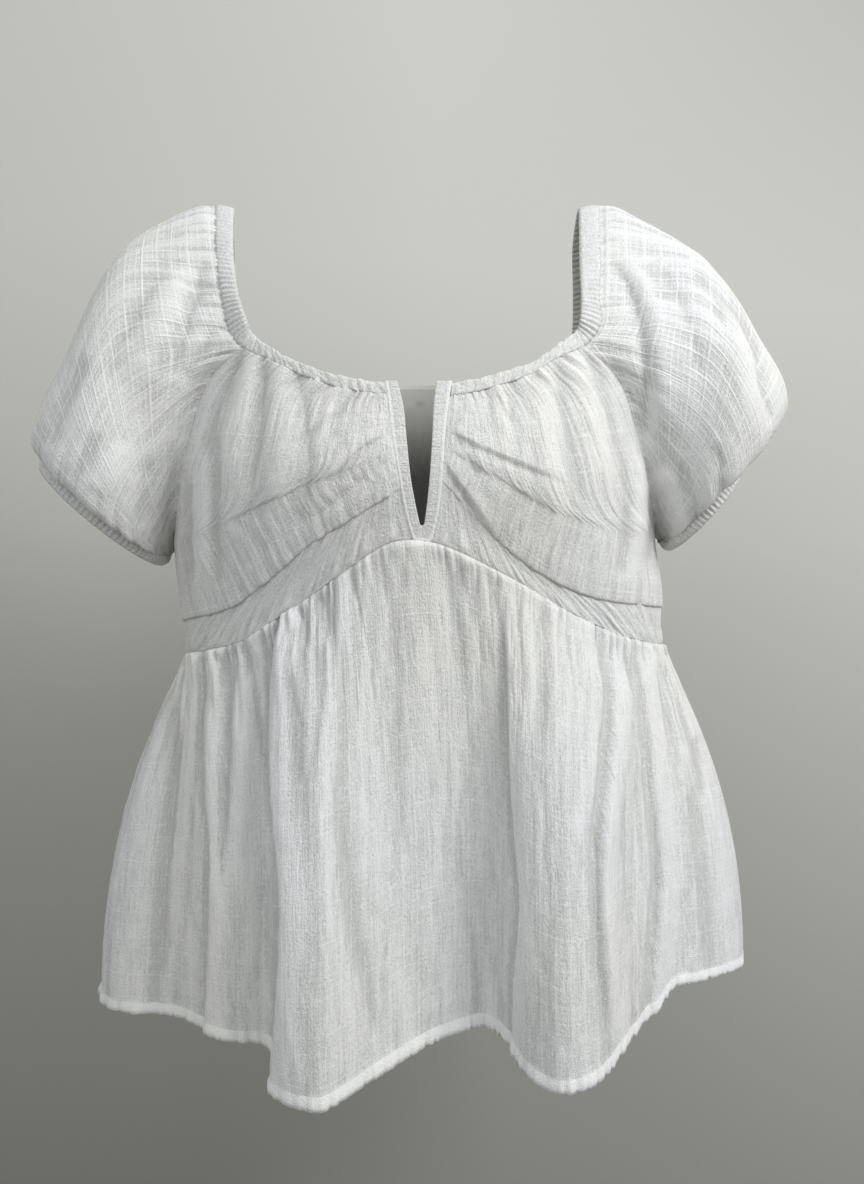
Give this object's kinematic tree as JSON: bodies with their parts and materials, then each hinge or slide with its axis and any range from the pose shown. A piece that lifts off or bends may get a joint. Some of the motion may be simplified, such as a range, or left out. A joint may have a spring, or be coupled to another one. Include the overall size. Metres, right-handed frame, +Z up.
{
  "type": "peasant blouse",
  "caption": "short-sleeved gauze blouse with an elastic scoop neck, V notch, gathered bust panels, midriff band, balloon sleeves and a flared gathered skirt",
  "frame": {"origin": "midway between the two shoulder straps across the neck, at the height of their crests and at mid depth", "axes": "+Z up, the front faces -Y, +X to the right of someone looking at the front"},
  "size_m": [0.4936, 0.276, 0.541],
  "materials": {
    "gauze": "off-white crinkled cotton gauze, matte, fine ridges down its length",
    "gauze_sleeve": "the same gauze cut on the bias, slub threads in a slanted grid",
    "gauze_double": "two layers of the gauze, gathered on elastic or folded as a band"
  },
  "bodies": {
    "root": {"neck_casing": "gauze_double", "notch_band": "gauze_double", "bust_left": "gauze", "bust_right": "gauze", "midriff_left": "gauze", "midriff_right": "gauze", "back_bodice": "gauze", "sleeve_left": "gauze_sleeve", "sleeve_right": "gauze_sleeve", "cuff_left": "gauze_double", "cuff_right": "gauze_double", "skirt_front": "gauze", "skirt_back": "gauze"}
  },
  "joints": []
}
